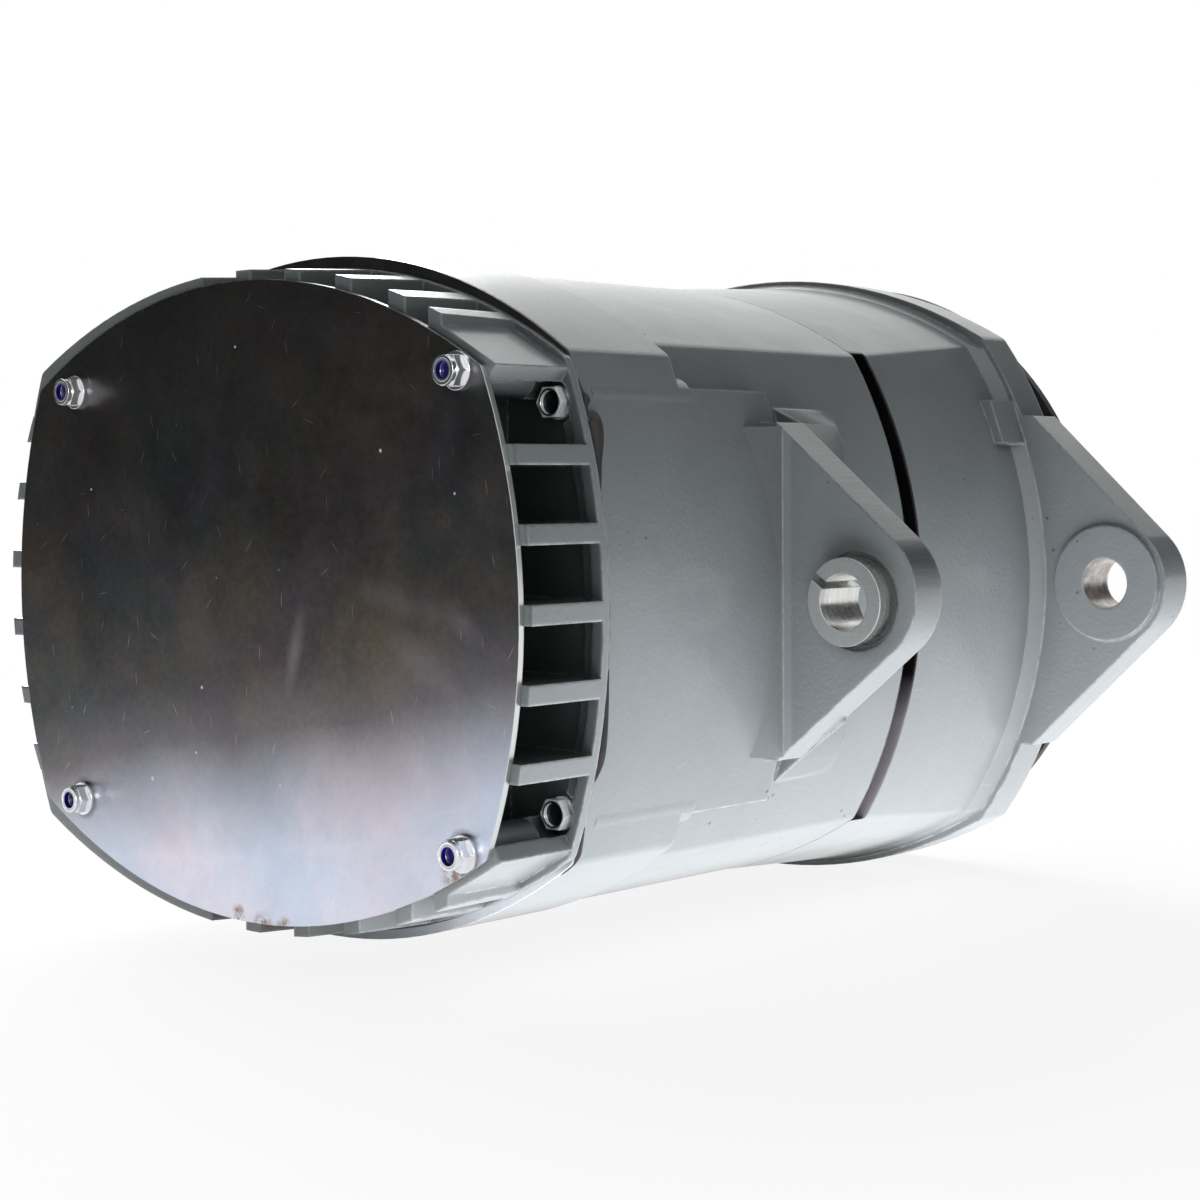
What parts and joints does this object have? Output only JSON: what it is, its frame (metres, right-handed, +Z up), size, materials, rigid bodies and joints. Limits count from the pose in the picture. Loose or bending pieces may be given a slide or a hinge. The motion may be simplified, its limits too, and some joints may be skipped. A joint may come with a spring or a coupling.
{
  "type": "alternator",
  "caption": "Enclosed hinge-mount alternator with a finned rear ring, flat cover plate, slit hinge bush and keyed drive shaft.",
  "frame": {"origin": "centre of the pulley seat, on the shaft's axis", "axes": "+Y along the shaft towards the rear cover plate (the drive end points to -Y), +Z up, mounting lugs towards -X"},
  "size_m": [0.256, 0.3129, 0.174],
  "materials": {
    "casting_grey": "cast, greyed",
    "plate_black": "matt, scratched",
    "zinc_steel": "zinc plated",
    "blue_nylon": "moulded",
    "black_sealant": "soft",
    "bush_steel": "turned",
    "lamination": "lacquered stack",
    "winding_copper": "enamelled",
    "bearing_steel": "ground",
    "machined_steel": "turned",
    "fan_black": "satin black",
    "heat_sink": "plain",
    "diode_can": "plated",
    "insulator_black": "moulded",
    "brass": "plain"
  },
  "bodies": {
    "housing": {"rear_cover_plate": "plate_black", "cover_studs": "zinc_steel", "cover_nuts": "zinc_steel", "cover_nut_inserts": "blue_nylon", "rear_rib_ring": "casting_grey", "ring_bolts": "zinc_steel", "ring_gasket": "black_sealant", "rear_housing": "casting_grey", "drive_end_housing": "casting_grey", "stator_core": "lamination", "stator_winding": "winding_copper", "through_bolts": "zinc_steel", "front_bearing_outer_race": "bearing_steel", "rear_bearing_outer_race": "bearing_steel", "bearing_retainer": "machined_steel", "retainer_screws": "zinc_steel", "coil_carrier": "machined_steel", "field_coil": "winding_copper", "carrier_screws": "zinc_steel", "rectifier_plate_positive": "heat_sink", "rectifier_plate_negative": "heat_sink", "rectifier_diodes": "diode_can", "rectifier_insulators": "insulator_black", "rectifier_screws": "zinc_steel", "output_strap": "brass", "voltage_regulator": "insulator_black", "regulator_screws": "zinc_steel", "output_stud": "brass", "output_insulator": "insulator_black", "output_washer": "zinc_steel", "output_nut": "brass", "ground_screw": "zinc_steel"},
    "rotor": {"rotor_shaft": "machined_steel", "front_bearing_inner_race": "bearing_steel", "rear_bearing_inner_race": "bearing_steel", "rotor_pole_front": "machined_steel", "rotor_pole_rear": "machined_steel", "pole_joining_ring": "brass", "fan_spacer": "machined_steel", "cooling_fan": "fan_black"},
    "front_cage": {"front_bearing_balls": "bearing_steel", "front_bearing_cage": "brass"},
    "rear_cage": {"rear_bearing_balls": "bearing_steel", "rear_bearing_cage": "brass"},
    "bush": {"hinge_bush": "bush_steel"}
  },
  "joints": [
    {"name": "rotor_spin", "type": "hinge", "parent": "housing", "child": "rotor", "pos_m": [0, 0, 0], "axis": [0, -1, 0], "continuous": true},
    {"name": "front_cage_spin", "type": "hinge", "parent": "housing", "child": "front_cage", "pos_m": [0, 0, 0], "axis": [0, -1, 0], "continuous": true},
    {"name": "rear_cage_spin", "type": "hinge", "parent": "housing", "child": "rear_cage", "pos_m": [0, 0, 0], "axis": [0, -1, 0], "continuous": true},
    {"name": "bush_slide", "type": "slide", "parent": "housing", "child": "bush", "axis": [0, -1, 0], "range_m": [-0.003, 0.003]}
  ],
  "couplings": [
    {"joint": "front_cage_spin", "follows": "rotor_spin", "ratio": 0.37356},
    {"joint": "rear_cage_spin", "follows": "rotor_spin", "ratio": 0.38421}
  ]
}
